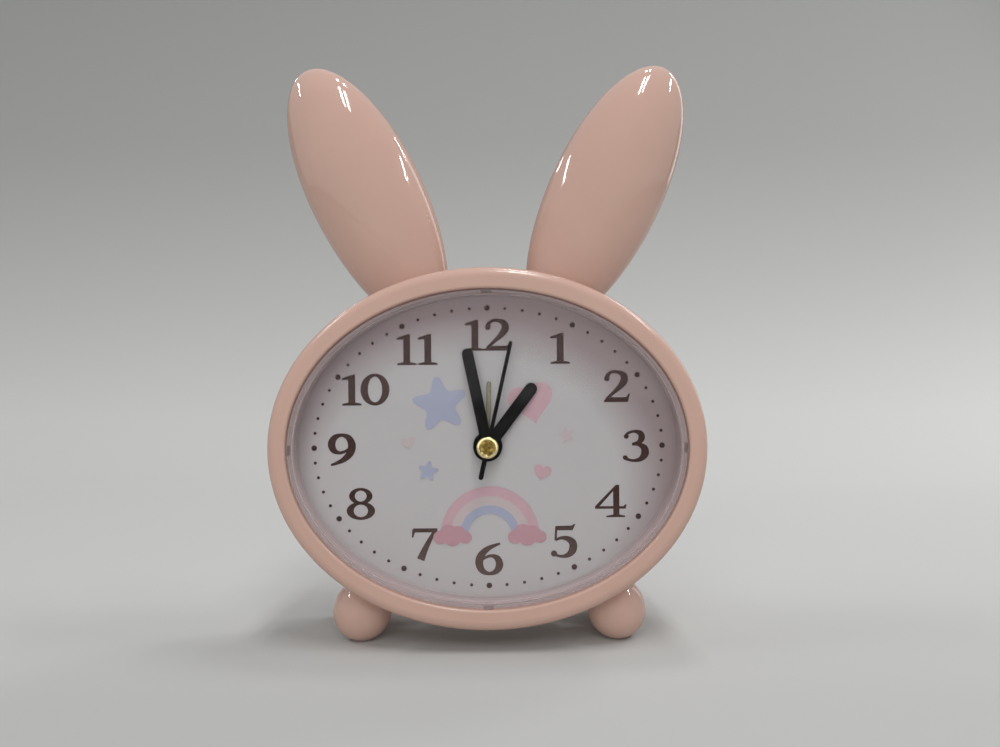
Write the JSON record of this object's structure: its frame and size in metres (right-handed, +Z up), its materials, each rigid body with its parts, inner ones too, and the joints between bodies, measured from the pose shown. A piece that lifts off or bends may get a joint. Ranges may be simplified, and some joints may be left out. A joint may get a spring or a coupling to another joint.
{
  "type": "alarm clock",
  "caption": "Small oval bedside alarm clock in glossy peach plastic on egg-shaped feet, with egg-shaped ears, black hands, a printed dial behind a clear window, and setting knobs at the back.",
  "frame": {"origin": "middle of the bounding box's underside, on the table between the feet", "axes": "+Z up, -Y is the way the dial faces, +X is to the viewer's right when looking at the dial"},
  "size_m": [0.1212, 0.044, 0.168],
  "materials": {
    "peach_plastic": "glossy peach pink moulded plastic",
    "clear_plastic": "clear polystyrene",
    "printed_card": "off-white printed card, satin",
    "white_plastic": "white moulded plastic",
    "black_paint": "matte black paint on thin metal",
    "olive_paint": "dull gold-olive lacquer on thin metal",
    "pressed_brass": "pressed brass with a bright rim",
    "zinc_steel": "zinc-plated steel",
    "movement_plastic": "black moulded plastic",
    "wheel_plastic": "natural acetal",
    "magnet_black": "plastic-bonded magnet, dark grey",
    "coil_copper": "enamelled copper wire",
    "board_green": "green circuit board",
    "chip_black": "black epoxy",
    "nickel": "nickel-plated spring strip and cans",
    "battery_label": "plain blue battery sleeve",
    "wire_red": "red wire insulation",
    "light_white": "white light-emitting diode"
  },
  "bodies": {
    "root": {"front_bezel": "peach_plastic", "rear_case": "peach_plastic", "left_ear_front": "peach_plastic", "left_ear_rear": "peach_plastic", "right_ear_front": "peach_plastic", "right_ear_rear": "peach_plastic", "front_left_foot": "peach_plastic", "front_right_foot": "peach_plastic", "rear_left_foot": "peach_plastic", "rear_right_foot": "peach_plastic", "lens": "clear_plastic", "dial_card": "printed_card", "dial_frame": "white_plastic", "coil_bobbin": "white_plastic", "case_screws": "zinc_steel", "ear_and_foot_screws": "zinc_steel", "small_screws": "zinc_steel", "stator": "zinc_steel", "movement_base": "movement_plastic", "movement_cover": "movement_plastic", "coil_winding": "coil_copper", "movement_board": "board_green", "circuit_board": "board_green", "led_board": "board_green", "timing_chip": "chip_black", "buzzer": "chip_black", "light_switch_body": "chip_black", "alarm_switch_body": "chip_black", "quartz_crystal": "nickel", "alarm_contact": "nickel", "battery_positive_contact": "nickel", "battery_negative_contact": "nickel", "aa_battery": "battery_label", "battery_wires": "wire_red", "light_wires": "wire_red", "led": "light_white"},
    "second": {"second_wheel": "wheel_plastic", "second_hand": "black_paint", "hand_cap": "pressed_brass"},
    "intermediate": {"intermediate_wheel": "wheel_plastic"},
    "rotor": {"rotor_pinion": "wheel_plastic", "rotor_magnet": "magnet_black"},
    "third": {"third_wheel": "wheel_plastic"},
    "center": {"center_wheel": "wheel_plastic"},
    "minute": {"cannon_pinion": "wheel_plastic", "minute_hand": "black_paint"},
    "motion": {"minute_wheel": "wheel_plastic"},
    "hour": {"hour_wheel": "wheel_plastic", "hour_hand": "black_paint"},
    "time_set": {"time_set_arbor": "wheel_plastic", "time_set_knob": "peach_plastic"},
    "alarm": {"alarm_wheel": "wheel_plastic", "alarm_hand": "olive_paint"},
    "alarm_set": {"alarm_set_arbor": "wheel_plastic", "alarm_set_knob": "peach_plastic"},
    "alarm_slider": {"alarm_switch": "white_plastic"},
    "light_push": {"light_button": "white_plastic"},
    "door": {"battery_door": "peach_plastic"}
  },
  "joints": [
    {"name": "second_turn", "type": "hinge", "parent": "root", "child": "second", "pos_m": [0, -0.007, 0.05615], "axis": [0, 1, 0], "continuous": true},
    {"name": "intermediate_turn", "type": "hinge", "parent": "root", "child": "intermediate", "pos_m": [0.00758, -0.004, 0.05178], "axis": [0, 1, 0], "continuous": true},
    {"name": "rotor_turn", "type": "hinge", "parent": "root", "child": "rotor", "pos_m": [0.01358, -0.004, 0.05178], "axis": [0, 1, 0], "continuous": true},
    {"name": "third_turn", "type": "hinge", "parent": "root", "child": "third", "pos_m": [-0.00886, -0.004, 0.05459], "axis": [0, 1, 0], "continuous": true},
    {"name": "center_turn", "type": "hinge", "parent": "root", "child": "center", "pos_m": [0, -0.0052, 0.05615], "axis": [0, 1, 0], "continuous": true},
    {"name": "minute_turn", "type": "hinge", "parent": "root", "child": "minute", "pos_m": [0, -0.01, 0.05615], "axis": [0, 1, 0], "continuous": true},
    {"name": "motion_turn", "type": "hinge", "parent": "root", "child": "motion", "pos_m": [-0.001, -0.007, 0.06509], "axis": [0, 1, 0], "continuous": true},
    {"name": "hour_turn", "type": "hinge", "parent": "root", "child": "hour", "pos_m": [0, -0.011, 0.05615], "axis": [0, 1, 0], "continuous": true},
    {"name": "time_set_turn", "type": "hinge", "parent": "root", "child": "time_set", "pos_m": [-0.01, 0.005, 0.06515], "axis": [0, 1, 0], "continuous": true},
    {"name": "alarm_turn", "type": "hinge", "parent": "root", "child": "alarm", "pos_m": [0, -0.0112, 0.05615], "axis": [0, 1, 0], "continuous": true},
    {"name": "alarm_set_turn", "type": "hinge", "parent": "root", "child": "alarm_set", "pos_m": [0.01, 0.005, 0.06515], "axis": [0, 1, 0], "continuous": true},
    {"name": "alarm_slide", "type": "slide", "parent": "root", "child": "alarm_slider", "axis": [1, 0, 0], "range_m": [0, 0.003]},
    {"name": "light_press", "type": "slide", "parent": "root", "child": "light_push", "axis": [0, -1, 0], "range_m": [0, 0.0008], "stiffness_N_per_m": 300, "springref_m": -0.0006},
    {"name": "door_slide", "type": "slide", "parent": "root", "child": "door", "axis": [0, 0, -1], "range_m": [0, 0.008]}
  ],
  "couplings": [
    {"joint": "intermediate_turn", "follows": "second_turn", "ratio": -6},
    {"joint": "rotor_turn", "follows": "second_turn", "ratio": 30},
    {"joint": "third_turn", "follows": "second_turn", "ratio": -0.13333},
    {"joint": "center_turn", "follows": "second_turn", "ratio": 0.016667},
    {"joint": "motion_turn", "follows": "minute_turn", "ratio": -0.33333},
    {"joint": "hour_turn", "follows": "minute_turn", "ratio": 0.083333},
    {"joint": "time_set_turn", "follows": "minute_turn", "ratio": 1},
    {"joint": "alarm_set_turn", "follows": "alarm_turn", "ratio": -1.3333}
  ]
}
